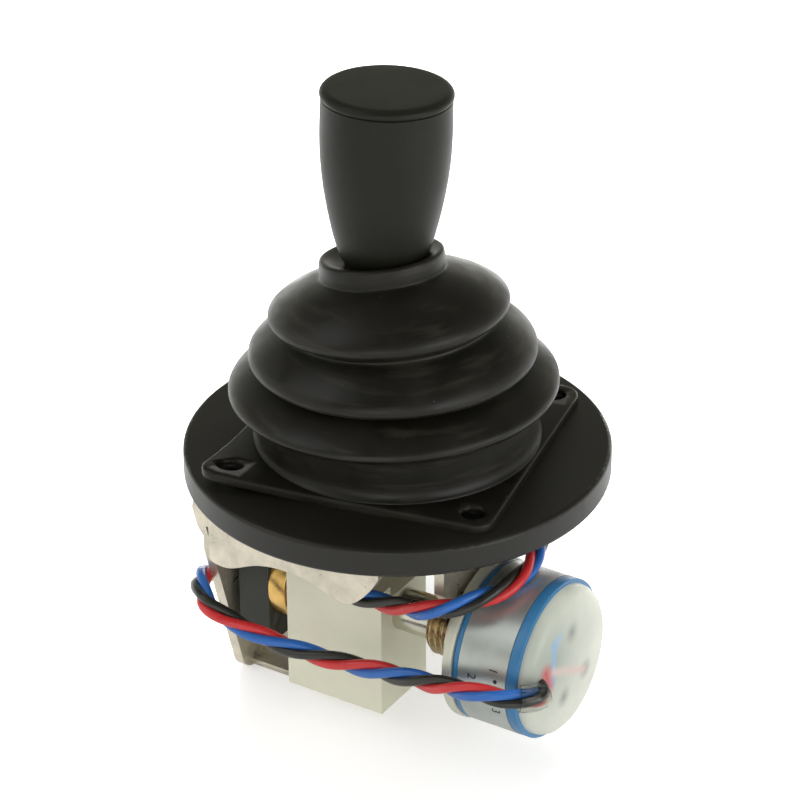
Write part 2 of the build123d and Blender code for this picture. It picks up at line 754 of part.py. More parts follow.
for axis, route in lead_routes.items():
    corners = [Vector(*point) for point in route]
    radii = []
    for before, here, after in zip(corners, corners[1:], corners[2:]):
        turn = (here - before).get_angle(after - here)
        shorter = min((here - before).length, (after - here).length)
        radii.append(0.45 * shorter / tan(radians(turn / 2)))
    with BuildPart() as lead:
        with BuildLine() as path:
            FilletPolyline(*corners, radius=radii)
        with BuildSketch(Plane(origin=path.line @ 0, z_dir=path.line % 0)):
            Circle(lead_d / 2)
        sweep(path=path.line)
    path_length = sum(edge.length for edge in path.edges())
    fullness = lead.part.volume / (pi * lead_d**2 / 4 * path_length)
    print(f"lead_{axis} length", round(path_length, 1), "fullness", round(fullness, 4))
    print(f"lead_{axis} radii", [round(r, 1) for r in radii])
    hand_in(lead.part, f"lead_{axis}", modelled_about_stick=False)
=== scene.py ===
# %% [markdown]
# # A two-axis industrial joystick
# A black knob stands on a rubber bellows over a round flange. Below the flange hangs a folded
# steel frame with a gimbal, two potentiometers and their twisted leads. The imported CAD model
# gives every part its place, in metres. This notebook dresses it: soft and turned parts that
# need finer shapes are modelled again over their CAD solids, and everything gets a finish.

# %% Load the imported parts
import math

import bmesh
import bpy
from mathutils import Matrix, Vector


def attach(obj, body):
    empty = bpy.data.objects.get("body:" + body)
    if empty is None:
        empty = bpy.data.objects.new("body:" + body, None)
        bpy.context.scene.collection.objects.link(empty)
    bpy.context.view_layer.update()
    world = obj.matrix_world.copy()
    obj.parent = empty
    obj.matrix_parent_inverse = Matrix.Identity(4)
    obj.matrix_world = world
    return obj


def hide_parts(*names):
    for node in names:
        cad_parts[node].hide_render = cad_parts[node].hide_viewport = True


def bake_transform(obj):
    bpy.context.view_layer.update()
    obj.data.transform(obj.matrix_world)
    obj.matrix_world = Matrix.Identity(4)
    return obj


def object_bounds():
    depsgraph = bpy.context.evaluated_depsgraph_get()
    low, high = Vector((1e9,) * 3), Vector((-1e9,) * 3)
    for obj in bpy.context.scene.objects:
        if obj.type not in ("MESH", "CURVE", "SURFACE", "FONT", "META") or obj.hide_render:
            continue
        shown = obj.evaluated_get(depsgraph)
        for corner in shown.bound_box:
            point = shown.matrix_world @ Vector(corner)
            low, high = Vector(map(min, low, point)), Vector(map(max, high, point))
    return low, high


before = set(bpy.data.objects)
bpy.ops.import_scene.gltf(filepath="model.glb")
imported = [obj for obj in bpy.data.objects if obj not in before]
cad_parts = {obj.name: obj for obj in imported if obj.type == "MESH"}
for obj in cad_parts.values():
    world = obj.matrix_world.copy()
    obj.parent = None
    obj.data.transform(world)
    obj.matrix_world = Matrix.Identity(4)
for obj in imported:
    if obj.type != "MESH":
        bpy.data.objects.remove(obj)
cad_low, cad_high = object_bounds()
MM = 0.001
print("CAD box", [round(x, 4) for x in (*cad_low, *cad_high)])

# %% [markdown]
# ## The camera
# The photograph was taken from some 47 cm away with a long lens. The angles below turn a camera
# that looks along +Y: first round the vertical axis, then down, then a touch about its own axis.

# %% Camera at the photograph's viewing angle
azimuth, elevation, roll = math.radians(32.0225), math.radians(29.2711), math.radians(-0.346)
camera_place = (0.21669, -0.34578, 0.23886)
camera_data = bpy.data.cameras.new("Camera")
camera_data.sensor_width = 36.0
camera_data.lens = 155.535
camera_data.clip_start = 0.01
camera = bpy.data.objects.new("Camera", camera_data)
bpy.context.collection.objects.link(camera)
camera.matrix_world = (
    Matrix.Translation(camera_place)
    @ Matrix.Rotation(azimuth, 4, "Z")
    @ Matrix.Rotation(math.pi / 2 - elevation, 4, "X")
    @ Matrix.Rotation(roll, 4, "Z")
)
bpy.context.scene.camera = camera
print("camera at", camera_place)

# %% [markdown]
# ## The white room
# The photograph was lit softly from all round on a white sweep, under a darker ceiling. The world
# is a pale dome, white to the camera. In reflections it is white near the horizon and dark above,
# so black parts keep dark faces and get bright edges.

# %% World
scene = bpy.context.scene
scene.view_settings.view_transform = "Standard"
dome_strength, sweep_in_gloss, ceiling_in_gloss = 0.6, 1.05, 0.12
horizon_height, ceiling_height = 0.02, 0.42
room_white, gloss_white = (1.0, 0.995, 0.975, 1.0), (1.0, 0.99, 0.87, 1.0)
world = bpy.data.worlds.new("Studio")
scene.world = world
world.use_nodes = True
sky = world.node_tree
sky.nodes.clear()
dome = sky.nodes.new("ShaderNodeBackground")
dome.inputs["Strength"].default_value = dome_strength
gloss_dome = sky.nodes.new("ShaderNodeBackground")
white = sky.nodes.new("ShaderNodeBackground")
for shade, colour in ((dome, room_white), (gloss_dome, gloss_white), (white, room_white)):
    shade.inputs["Color"].default_value = colour
toward = sky.nodes.new("ShaderNodeTexCoord")
split = sky.nodes.new("ShaderNodeSeparateXYZ")
fall_off = sky.nodes.new("ShaderNodeMapRange")
fall_off.interpolation_type = "SMOOTHSTEP"
fall_off.inputs["From Min"].default_value = horizon_height
fall_off.inputs["From Max"].default_value = ceiling_height
fall_off.inputs["To Min"].default_value = sweep_in_gloss
fall_off.inputs["To Max"].default_value = ceiling_in_gloss
sky.links.new(toward.outputs["Generated"], split.inputs[0])
sky.links.new(split.outputs["Z"], fall_off.inputs["Value"])
sky.links.new(fall_off.outputs["Result"], gloss_dome.inputs["Strength"])
path = sky.nodes.new("ShaderNodeLightPath")
mirrored = sky.nodes.new("ShaderNodeMixShader")
seen = sky.nodes.new("ShaderNodeMixShader")
sky_out = sky.nodes.new("ShaderNodeOutputWorld")
sky.links.new(path.outputs["Is Glossy Ray"], mirrored.inputs[0])
sky.links.new(dome.outputs[0], mirrored.inputs[1])
sky.links.new(gloss_dome.outputs[0], mirrored.inputs[2])
sky.links.new(path.outputs["Is Camera Ray"], seen.inputs[0])
sky.links.new(mirrored.outputs[0], seen.inputs[1])
sky.links.new(white.outputs[0], seen.inputs[2])
sky.links.new(seen.outputs[0], sky_out.inputs["Surface"])
print("world nodes", len(sky.nodes))

# %% [markdown]
# Large faint lamps add the soft sheen on the front. One more lamp, behind the object, lights the
# sweep there, which the edges mirror. Reflections don't see that lamp itself.


# %% Lamps
def softbox(name, place, aim, size, watts):
    """A large square lamp that looks at a point."""
    lamp = bpy.data.lights.new(name, "AREA")
    lamp.size = size
    lamp.energy = watts
    lamp_object = bpy.data.objects.new(name, lamp)
    bpy.context.collection.objects.link(lamp_object)
    lamp_object.location = place
    lamp_object.rotation_mode = "QUATERNION"
    lamp_object.rotation_quaternion = (Vector(aim) - Vector(place)).to_track_quat("-Z", "Y")
    return lamp_object


middle = (0, 0, 0.01)
softbox("Key", (-0.5, -0.5, 0.6), middle, 0.6, 1.6)
softbox("Fill", (0.75, -0.1, 0.12), middle, 0.6, 2.6)
softbox("Front", (0.3, -0.8, 0.12), middle, 0.5, 1.0)
sweep_lamp = softbox("Sweep", (-0.24, 0.38, 0.4), (-0.23, 0.36, -0.035), 0.6, 3.5)
sweep_lamp.data.spread = math.radians(80)
sweep_lamp.visible_glossy = False
print("lamps", [lamp.name for lamp in bpy.data.lights])

# %% [markdown]
# The floor is pale paper at the lowest point of the object. It glows a little to the camera and in
# reflections, so the sweep stays white round a soft shadow.

# %% Floor
floor_half_width, paper_white = 2.0, (0.86, 0.86, 0.85, 1)
glow_to_camera, glow_in_gloss = 0.45, 0.15
bm = bmesh.new()
bmesh.ops.create_grid(bm, x_segments=1, y_segments=1, size=floor_half_width)
bmesh.ops.translate(bm, vec=(0, 0, cad_low.z), verts=bm.verts)
floor_mesh = bpy.data.meshes.new("Floor")
bm.to_mesh(floor_mesh)
bm.free()
floor = bpy.data.objects.new("Floor", floor_mesh)
bpy.context.collection.objects.link(floor)
paper = bpy.data.materials.new("pale paper")
paper.use_nodes = True
paper_nodes = paper.node_tree.nodes
paper_shader = paper_nodes["Principled BSDF"]
paper_shader.inputs["Base Color"].default_value = paper_white
paper_shader.inputs["Roughness"].default_value = 0.9
paper_shader.inputs["Specular IOR Level"].default_value = 0.0
paper_shader.inputs["Emission Color"].default_value = (1, 1, 1, 1)
paper_path = paper_nodes.new("ShaderNodeLightPath")
in_gloss = paper_nodes.new("ShaderNodeMath")
in_gloss.operation = "MULTIPLY"
in_gloss.inputs[1].default_value = glow_in_gloss
lift = paper_nodes.new("ShaderNodeMath")
lift.operation = "MULTIPLY_ADD"
lift.inputs[1].default_value = glow_to_camera
paper.node_tree.links.new(paper_path.outputs["Is Glossy Ray"], in_gloss.inputs[0])
paper.node_tree.links.new(paper_path.outputs["Is Camera Ray"], lift.inputs[0])
paper.node_tree.links.new(in_gloss.outputs[0], lift.inputs[2])
paper.node_tree.links.new(lift.outputs[0], paper_shader.inputs["Emission Strength"])
floor_mesh.materials.append(paper)
print("floor at", round(cad_low.z, 4))

# %% [markdown]
# ## Shader groups
# Several finishes share the same small effects: a fine moulded or spark-eroded grain, slow
# changes of tone, specks of dust and thin scratches. Each effect is a node group with named
# inputs, built once, and every finish sets its own values. These helpers wire the groups up.

# %% Helpers for node groups
FLOAT, VECTOR = "NodeSocketFloat", "NodeSocketVector"


def new_group(name, inputs, outputs):
    """A shader group: its tree, what it is given, what it makes and the place on the object."""
    tree = bpy.data.node_groups.new(name, "ShaderNodeTree")
    for label, kind, value in inputs:
        socket = tree.interface.new_socket(label, in_out="INPUT", socket_type=kind)
        socket.default_value = value
    for label in outputs:
        tree.interface.new_socket(label, in_out="OUTPUT", socket_type=FLOAT)
    place = tree.nodes.new("ShaderNodeTexCoord").outputs["Object"]
    return tree, tree.nodes.new("NodeGroupInput").outputs, tree.nodes.new("NodeGroupOutput").inputs, place


def maths(tree, operation, first, second=None, clamp=False):
    """One Math node. Each term is a socket or a number."""
    node = tree.nodes.new("ShaderNodeMath")
    node.operation = operation
    node.use_clamp = clamp
    for at, term in enumerate((first, second)):
        if term is None:
            continue
        if isinstance(term, (int, float)):
            node.inputs[at].default_value = term
        else:
            tree.links.new(term, node.inputs[at])
    return node.outputs[0]


def vector_maths(tree, operation, first, second, out=0):
    """One Vector Math node between two sockets. Its output 1 is a plain value, such as a distance."""
    node = tree.nodes.new("ShaderNodeVectorMath")
    node.operation = operation
    tree.links.new(first, node.inputs[0])
    tree.links.new(second, node.inputs["Scale" if operation == "SCALE" else 1])
    return node.outputs[out]


def noise(tree, vector, scale, detail=2.0, rough=0.5):
    """A noise texture's factor. The scale is a number or a socket."""
    node = tree.nodes.new("ShaderNodeTexNoise")
    node.inputs["Detail"].default_value = detail
    node.inputs["Roughness"].default_value = rough
    tree.links.new(vector, node.inputs["Vector"])
    if isinstance(scale, (int, float)):
        node.inputs["Scale"].default_value = scale
    else:
        tree.links.new(scale, node.inputs["Scale"])
    return node.outputs["Fac"]


def scale_of(tree, size_mm):
    """The scale of a texture, per metre, for a size in millimetres."""
    return maths(tree, "DIVIDE", 1000.0, size_mm)


# %% [markdown]
# Grain gives height for the bump, and its patches vary the tone and the gloss. Dust is a speck in
# some of the cells of a Voronoi texture.

# %% Grain and dust
patch_contrast = 2.4
surface, given, made, place = new_group(
    "Surface grain",
    [("Grain size mm", FLOAT, 0.15), ("Patch size mm", FLOAT, 8.0)],
    ["Height", "Patches"],
)
surface.links.new(noise(surface, place, scale_of(surface, given["Grain size mm"])), made["Height"])
patches = noise(surface, place, scale_of(surface, given["Patch size mm"]), 3.0, 0.6)
patches = maths(surface, "MULTIPLY", maths(surface, "SUBTRACT", patches, 0.5), patch_contrast)
surface.links.new(maths(surface, "ADD", patches, 0.5, clamp=True), made["Patches"])

dusty_scale, dusty_above = 160.0, 0.56
dust, given, made, place = new_group(
    "Dust specks", [("Spacing mm", FLOAT, 2.0), ("Speck share", FLOAT, 0.05)], ["Specks"]
)
cells = dust.nodes.new("ShaderNodeTexVoronoi")
dust.links.new(place, cells.inputs["Vector"])
dust.links.new(scale_of(dust, given["Spacing mm"]), cells.inputs["Scale"])
near = maths(dust, "LESS_THAN", cells.outputs["Distance"], given["Speck share"])
chosen = maths(dust, "GREATER_THAN", noise(dust, place, dusty_scale, 1.0), dusty_above)
dust.links.new(maths(dust, "MULTIPLY", near, chosen), made["Specks"])
print("groups", [group.name for group in bpy.data.node_groups])

# %% [markdown]
# Scratches follow the middle value of a stretched noise and are broken up by a second noise. The
# lighter streaks on the rubber are painted sheen: the high parts of a stretched noise.

# %% Scratches and streaks
broken_scale, broken_above = 260.0, 0.56
scratches, given, made, place = new_group(
    "Scratches",
    [("Direction", VECTOR, (1.0, 8.0, 1.0)), ("Spacing mm", FLOAT, 3.0), ("Width", FLOAT, 0.01)],
    ["Scratches"],
)
stretched = vector_maths(scratches, "MULTIPLY", place, given["Direction"])
lines = noise(scratches, stretched, scale_of(scratches, given["Spacing mm"]), 1.0)
off_line = maths(scratches, "ABSOLUTE", maths(scratches, "SUBTRACT", lines, 0.5))
on_line = maths(scratches, "LESS_THAN", off_line, given["Width"])
broken = maths(scratches, "GREATER_THAN", noise(scratches, place, broken_scale, 1.0), broken_above)
scratches.links.new(maths(scratches, "MULTIPLY", on_line, broken), made["Scratches"])

streak_above, streak_contrast = 0.54, 7.0
# The streaks are painted sheen, a lighter colour laid over the rubber.
streaks, given, made, place = new_group(
    "Painted sheen streaks",
    [("Direction", VECTOR, (1.0, 1.0, 10.0)), ("Length mm", FLOAT, 14.0)],
    ["Streaks"],
)
stretched = vector_maths(streaks, "MULTIPLY", place, given["Direction"])
wave = noise(streaks, stretched, scale_of(streaks, given["Length mm"]), 3.0, 0.6)
wave = maths(streaks, "SUBTRACT", wave, streak_above)
streaks.links.new(maths(streaks, "MULTIPLY", wave, streak_contrast, clamp=True), made["Streaks"])
print("groups", [group.name for group in bpy.data.node_groups])

# %% [markdown]
# What shows through a milky cap is a soft line or a soft spot. Each group puts out 1 on the wire or
# at the middle of the spot, and fades to 0 with the distance from it.

# %% Wires and spots seen through
seen_line, given, made, place = new_group(
    "Wire seen through",
    [("From", VECTOR, (0, 0, 0)), ("To", VECTOR, (0, 0, 0)), ("Width mm", FLOAT, 0.6)],
    ["Shade"],
)
run = vector_maths(seen_line, "SUBTRACT", given["To"], given["From"])
gone = vector_maths(seen_line, "SUBTRACT", place, given["From"])
along_run = vector_maths(seen_line, "DOT_PRODUCT", gone, run, 1)
whole = vector_maths(seen_line, "DOT_PRODUCT", run, run, 1)
nearest = vector_maths(seen_line, "SCALE", run, maths(seen_line, "DIVIDE", along_run, whole, clamp=True))
away = vector_maths(seen_line, "DISTANCE", gone, nearest, 1)
share = maths(seen_line, "DIVIDE", maths(seen_line, "MULTIPLY", away, 1000.0), given["Width mm"])
seen_line.links.new(maths(seen_line, "SUBTRACT", 1.0, share, clamp=True), made["Shade"])

spot_fade = 1.3
shadow_spot, given, made, place = new_group(
    "Spot seen through",
    [("Centre", VECTOR, (0, 0, 0)), ("Radius mm", FLOAT, 1.2)],
    ["Shade"],
)
apart = vector_maths(shadow_spot, "DISTANCE", place, given["Centre"], 1)
share = maths(shadow_spot, "DIVIDE", maths(shadow_spot, "MULTIPLY", apart, 1000.0), given["Radius mm"])
inside = maths(shadow_spot, "SUBTRACT", 1.0, share, clamp=True)
shadow_spot.links.new(maths(shadow_spot, "POWER", inside, spot_fade), made["Shade"])
print("groups", [group.name for group in bpy.data.node_groups])

# %% [markdown]
# ## Finishes
# One function builds a finish from those groups around a Principled shader. Colours are given as
# they look on screen, from 0 to 255, and turned into the linear values that a shader works with.

# %% Colours and mixing
# A Mix node's two colours and its result, by their places among its sockets.
COLOUR_A, COLOUR_B, COLOUR_MIXED = 6, 7, 2


def linear(red, green, blue):
    """A screen colour from 0 to 255 as the linear colour of a shader."""
    parts = []
    for value in (red, green, blue):
        value /= 255
        parts.append(value / 12.92 if value <= 0.04045 else ((value + 0.055) / 1.055) ** 2.4)
    return (*parts, 1.0)


def use(tree, group, **values):
    """Places a group in a material and sets its inputs, whose names are written with _ for a space."""
    node = tree.nodes.new("ShaderNodeGroup")
    node.node_tree = group
    for label, value in values.items():
        node.inputs[label.replace("_", " ")].default_value = value
    return node


def blend_colours(tree, factor, first, second, how="MIX"):
    """A Mix node for colours. Each term is a socket or a colour."""
    node = tree.nodes.new("ShaderNodeMix")
    node.data_type = "RGBA"
    node.blend_type = how
    sockets = node.inputs["Factor"], node.inputs[COLOUR_A], node.inputs[COLOUR_B]
    for socket, term in zip(sockets, (factor, first, second)):
        if isinstance(term, (tuple, float, int)):
            socket.default_value = term
        else:
            tree.links.new(term, socket)
    return node.outputs[COLOUR_MIXED]


# %% The finish builder
dust_spacing, dust_colour = 1.7, (120, 118, 108)
scratch_spacing = 6.0


def finish(
    name,
    colour,
    roughness,
    metallic=0.0,
    grain_mm=0.15,
    patch_mm=8.0,
    bump=0.15,
    bump_mm=0.02,
    tone=0.18,
    rough_range=0.12,
    speck_share=0.0,
    scratch=0.0,
    scratch_direction=(1.0, 8.0, 1.0),
    scratch_colour=(60, 58, 52),
    sheen_streak_colour=None,
    specular=0.5,
):
    """A finish with grain and slow patches of tone, and dust, painted sheen streaks or scratches if asked
    for.
    """
    material = bpy.data.materials.new(name)
    material.use_nodes = True
    tree = material.node_tree
    shader = tree.nodes["Principled BSDF"]
    shader.inputs["Metallic"].default_value = metallic
    shader.inputs["Specular IOR Level"].default_value = specular
    grain = use(tree, surface, Grain_size_mm=grain_mm, Patch_size_mm=patch_mm)
    base = linear(*colour)
    darker = tuple(part * (1 - tone) for part in base[:3]) + (1.0,)
    lighter = tuple(min(1.0, part * (1 + tone)) for part in base[:3]) + (1.0,)
    shown = blend_colours(tree, grain.outputs["Patches"], darker, lighter)
    if speck_share:
        specks = use(tree, dust, Spacing_mm=dust_spacing, Speck_share=speck_share)
        shown = blend_colours(tree, specks.outputs["Specks"], shown, linear(*dust_colour))
    # Streaks of a lighter colour are painted sheen.
    if sheen_streak_colour:
        faint = use(tree, streaks)
        shown = blend_colours(tree, faint.outputs["Streaks"], shown, linear(*sheen_streak_colour))
    if scratch:
        marks = use(tree, scratches, Direction=scratch_direction, Spacing_mm=scratch_spacing, Width=scratch)
        shown = blend_colours(tree, marks.outputs["Scratches"], shown, linear(*scratch_colour))
    tree.links.new(shown, shader.inputs["Base Color"])
    varied = maths(tree, "MULTIPLY", grain.outputs["Patches"], rough_range)
    tree.links.new(maths(tree, "ADD", varied, roughness - rough_range / 2), shader.inputs["Roughness"])
    relief = tree.nodes.new("ShaderNodeBump")
    relief.inputs["Strength"].default_value = bump
    relief.inputs["Distance"].default_value = bump_mm * MM
    tree.links.new(grain.outputs["Height"], relief.inputs["Height"])
    tree.links.new(relief.outputs["Normal"], shader.inputs["Normal"])
    return material


# %% [markdown]
# ### Plastics, rubber and metals
# The plastics and the rubber are all nearly black, and only their sheen tells them apart: the
# knob is spark-eroded and matt, the rubber is satin with specks of dust and streaks of painted
# sheen, and the flange is smooth.

# %% Plastics, rubber and metals
knob_plastic = finish("knob plastic", (26, 26, 20), 0.46, grain_mm=0.22, patch_mm=9, bump=0.5, tone=0.14,
                      speck_share=0.02, specular=0.24)
flange_plastic = finish("flange plastic", (24, 23, 18), 0.4, grain_mm=0.1, patch_mm=14, bump=0.15, tone=0.12,
                        speck_share=0.03, specular=0.4)
# The rubber's lighter streaks are painted sheen.
boot_rubber = finish("boot rubber", (22, 21, 16), 0.4, grain_mm=0.16, patch_mm=5, bump=0.25, tone=0.22,
                     rough_range=0.16, speck_share=0.035, sheen_streak_colour=(40, 39, 32), specular=0.3)
sheet_steel = finish("nickel-plated sheet", (208, 201, 184), 0.36, metallic=0.72, grain_mm=0.5, patch_mm=3.2,
                     bump=0.12, tone=0.2, rough_range=0.2, scratch=0.0028, scratch_direction=(6.0, 2.0, 3.0),
                     scratch_colour=(120, 112, 98))
machined_steel = finish("machined steel", (178, 176, 168), 0.34, metallic=1.0, grain_mm=0.3, patch_mm=4,
                        bump=0.2)
zinc_steel = finish("zinc-plated screws", (188, 186, 176), 0.3, metallic=1.0, grain_mm=0.2, patch_mm=2,
                    bump=0.15)
black_steel = finish("blackened nut", (30, 30, 27), 0.5, metallic=0.3, grain_mm=0.2, patch_mm=2, bump=0.15)
ground_steel = finish("ground steel", (206, 204, 190), 0.22, metallic=1.0, grain_mm=0.2, patch_mm=6,
                      bump=0.08)
turned_brass = finish("turned brass", (226, 186, 110), 0.3, metallic=0.9, grain_mm=0.2, patch_mm=3, bump=0.12)
thread_nickel = finish("bushing nickel", (168, 150, 116), 0.24, metallic=1.0, grain_mm=0.15, patch_mm=2,
                       bump=0.12, tone=0.4)
bearing_plastic = finish("bearing plastic", (46, 47, 40), 0.5, grain_mm=0.2, patch_mm=8, bump=0.3,
                         specular=0.35)
acetal = finish("white acetal", (232, 232, 209), 0.5, grain_mm=0.35, patch_mm=12, bump=0.14, tone=0.04)
face_metal = finish("potentiometer face", (206, 207, 190), 0.42, metallic=0.35, grain_mm=0.2, patch_mm=5,
                    bump=0.2, tone=0.08)
blue_plastic = finish("blue plastic", (52, 118, 166), 0.34, grain_mm=0.3, patch_mm=5, bump=0.08, tone=0.08)
silver_label = finish("silver label", (184, 190, 186), 0.34, metallic=0.7, grain_mm=1.2, patch_mm=6, bump=0.1,
                      tone=0.14, rough_range=0.12)
ink = finish("label ink", (34, 34, 38), 0.5, grain_mm=0.2, patch_mm=2, bump=0.05)
solder_tin = finish("tinned terminals", (150, 148, 140), 0.35, metallic=1.0, grain_mm=0.2, patch_mm=1,
                    bump=0.3)
wire_red = finish("red insulation", (200, 46, 48), 0.3, grain_mm=0.5, patch_mm=6, bump=0.06, tone=0.08)
wire_blue = finish("blue insulation", (40, 100, 178), 0.3, grain_mm=0.5, patch_mm=6, bump=0.06, tone=0.08)
wire_black = finish("black insulation", (38, 38, 34), 0.3, grain_mm=0.5, patch_mm=6, bump=0.06, tone=0.12)
print("finishes", len(bpy.data.materials))

# %% [markdown]
# ## The leads
# Each potentiometer has three thin wires, red, blue and black, twisted into one lead. It leaves
# the milky cap, goes round the mechanism and is tucked in behind the frame. The lead's own line
# is one smooth spline, and the three wires wind round the points that Blender reads from it.

# %% Routes of the leads, in millimetres
lead_routes = {
    "x": [
        (31.7, -16.0, -16.2), (33.4, -17.6, -15.9), (33.0, -20.2, -15.3), (30.4, -22.2, -14.9),
        (27.4, -23.0, -14.9), (23.6, -22.6, -15.6), (19.5, -21.4, -17.0), (14.0, -20.2, -18.5),
        (8.3, -19.4, -19.7), (2.5, -19.1, -20.6), (-3.5, -19.4, -20.8), (-9.0, -20.3, -19.9),
        (-14.0, -21.6, -18.0), (-17.2, -22.0, -16.3), (-19.4, -20.1, -16.0), (-21.3, -17.6, -15.8),
        (-22.6, -13.1, -17.3), (-22.9, -7.0, -18.9), (-22.9, -2.5, -19.5), (-22.8, 1.8, -20.3),
        (-22.0, 7.0, -21.6), (-19.2, 12.2, -23.6),
    ],
    "y": [
        (-0.2, 31.7, -17.0), (1.4, 33.4, -16.9), (4.2, 33.0, -16.3), (7.2, 31.2, -15.3),
        (9.6, 29.6, -14.6), (13.8, 25.8, -12.6), (18.0, 19.6, -9.2), (20.6, 10.8, -5.6),
        (21.9, 1.5, -3.9), (25.4, -6.6, -4.0), (25.2, -12.8, -4.7), (21.8, -18.2, -5.5),
        (17.4, -20.3, -6.9), (12.8, -18.8, -8.6), (8.4, -17.6, -10.0), (3.4, -17.6, -10.2),
        (-1.8, -17.4, -9.2), (-7.0, -17.2, -7.2),
    ],
}
wire_radius = 0.68 * MM
twist_radius = 0.72 * MM
twist_pitch = {"x": 18.5 * MM, "y": 18.0 * MM}


# %% Wires wound round a spline
def spline_points(route):
    """The points of a smooth NURBS line that a route controls."""
    curve = bpy.data.curves.new("route", "CURVE")
    curve.dimensions = "3D"
    curve.resolution_u = 12
    spline = curve.splines.new("NURBS")
    spline.points.add(len(route) - 1)
    for point, place in zip(spline.points, route):
        point.co = (*[value * MM for value in place], 1.0)
    spline.order_u = 3
    spline.use_endpoint_u = True
    carrier = bpy.data.objects.new("route", curve)
    mesh = bpy.data.meshes.new_from_object(carrier)
    points = [vertex.co.copy() for vertex in mesh.vertices]
    bpy.data.objects.remove(carrier)
    bpy.data.meshes.remove(mesh)
    return points


def wound(points, radius, pitch, start_turn):
    """A left-hand helix about a line, as far from it as radius."""
    along = (points[1] - points[0]).normalized()
    side = along.orthogonal().normalized()
    gone, helix = 0.0, []
    for number, point in enumerate(points):
        ahead = points[min(number + 1, len(points) - 1)] - points[max(number - 1, 0)]
        turn = along.rotation_difference(ahead.normalized())
        along = ahead.normalized()
        side = (turn @ side).normalized()
        if number:
            gone += (point - points[number - 1]).length
        angle = -2 * math.pi * (gone / pitch + start_turn)
        helix.append(point + radius * (Matrix.Rotation(angle, 3, along) @ side))
    return helix


def wire_mesh(points, radius):
    """A round wire through points, closed at its ends."""
    curve = bpy.data.curves.new("wire", "CURVE")
    curve.dimensions = "3D"
    curve.bevel_depth = radius
    curve.bevel_resolution = 3
    curve.use_fill_caps = True
    spline = curve.splines.new("POLY")
    spline.points.add(len(points) - 1)
    for point, place in zip(spline.points, points):
        point.co = (*place, 1.0)
    carrier = bpy.data.objects.new("wire", curve)
    mesh = bpy.data.meshes.new_from_object(carrier)
    bpy.data.objects.remove(carrier)
    return mesh


def make_object(name, bm, materials, smooth_degrees=40):
    """Links a finished bmesh as an object at the origin, smooth except at sharp edges."""
    mesh = bpy.data.meshes.new(name)
    bm.to_mesh(mesh)
    bm.free()
    for material in materials:
        mesh.materials.append(material)
    mesh.polygons.foreach_set("use_smooth", [True] * len(mesh.polygons))
    mesh.set_sharp_from_angle(angle=math.radians(smooth_degrees))
    piece = bpy.data.objects.new(name, mesh)
    bpy.context.collection.objects.link(piece)
    return piece


# %% [markdown]
# Where a lead leaves its cap, a short sleeve of clear film holds the three wires together.

# %% Clear sleeves
film_index, film_haze = 1.3, 0.3
clear_film = bpy.data.materials.new("clear sleeve")
clear_film.use_nodes = True
film_tree = clear_film.node_tree
film_shader = film_tree.nodes["Principled BSDF"]
film_shader.inputs["Transmission Weight"].default_value = 1.0
film_shader.inputs["IOR"].default_value = film_index
film_grain = use(film_tree, surface, Grain_size_mm=0.4, Patch_size_mm=2.0)
film_tree.links.new(
    blend_colours(film_tree, film_grain.outputs["Patches"], linear(226, 228, 222), linear(244, 245, 240)),
    film_shader.inputs["Base Color"],
)
film_tree.links.new(
    maths(film_tree, "MULTIPLY", film_grain.outputs["Patches"], film_haze), film_shader.inputs["Roughness"]
)


def sleeve_round(line, name, radius_mm=1.75, wall_mm=0.12, first=10, last=26):
    """A short clear tube round a lead, from the first to the last of the points of its line."""
    outer = wire_mesh(line[first:last], radius_mm * MM)
    bm = bmesh.new()
    bm.from_mesh(outer)
    ends = [face for face in bm.faces if len(face.verts) > 4]
    bmesh.ops.delete(bm, geom=ends, context="FACES_ONLY")
    bmesh.ops.remove_doubles(bm, verts=bm.verts, dist=1e-7)
    bmesh.ops.recalc_face_normals(bm, faces=bm.faces)
    sleeve = make_object(name, bm, [clear_film], 60)
    wall = sleeve.modifiers.new("Wall", "SOLIDIFY")
    wall.thickness = wall_mm * MM
    wall.offset = 0.0
    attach(sleeve, "frame")
    return sleeve


# %% [markdown]
# Each lead is one mesh of three wires. It goes over the CAD lead with its line, its width and its
# length, and the CAD lead is hidden.

# %% Twisted leads
start_turns = {"x": 0.20, "y": 0.21}
for axis, route in lead_routes.items():
    line = spline_points(route)
    bm = bmesh.new()
    for number in range(3):
        start_turn = start_turns[axis] + number / 3
        strand = wire_mesh(wound(line, twist_radius, twist_pitch[axis], start_turn), wire_radius)
        first_face = len(bm.faces)
        bm.from_mesh(strand)
        bm.faces.ensure_lookup_table()
        for face in bm.faces[first_face:]:
            face.material_index = number
    bmesh.ops.recalc_face_normals(bm, faces=bm.faces)
    lead = make_object(f"twisted_lead_{axis}", bm, [wire_red, wire_blue, wire_black], 60)
    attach(lead, "frame")
    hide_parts(f"lead_{axis}")
    sleeve = sleeve_round(line, f"lead_{axis}_sleeve")

# %% [markdown]
# ## Turned shapes
# The knob, the bellows and the potentiometers are all turned about an axis. Each begins as half
# of its outline, a chain of points given as radius and height in millimetres, and Blender's spin
# turns it into a body. Sharp corners are then softened with a small bevel, as on real parts.

# %% Spin and soften
STICK_AXIS = Vector((-1.25, -1.25, 0))
FLANGE_TOP = 4.1


def lathe(outline, steps=96, closed=False):
    """Spins an outline of (radius, height) pairs in millimetres about Z, and welds the seam."""
    bm = bmesh.new()
    chain = [bm.verts.new((radius * MM, 0, height * MM)) for radius, height in outline]
    pairs = list(zip(chain, chain[1:])) + ([(chain[-1], chain[0])] if closed else [])
    edges = [bm.edges.new(pair) for pair in pairs]
    bmesh.ops.spin(bm, geom=chain + edges, cent=(0, 0, 0), axis=(0, 0, 1), angle=2 * math.pi,
                   steps=steps, use_merge=True)
    bmesh.ops.remove_doubles(bm, verts=bm.verts, dist=1e-7)
    bmesh.ops.recalc_face_normals(bm, faces=bm.faces)
    return bm


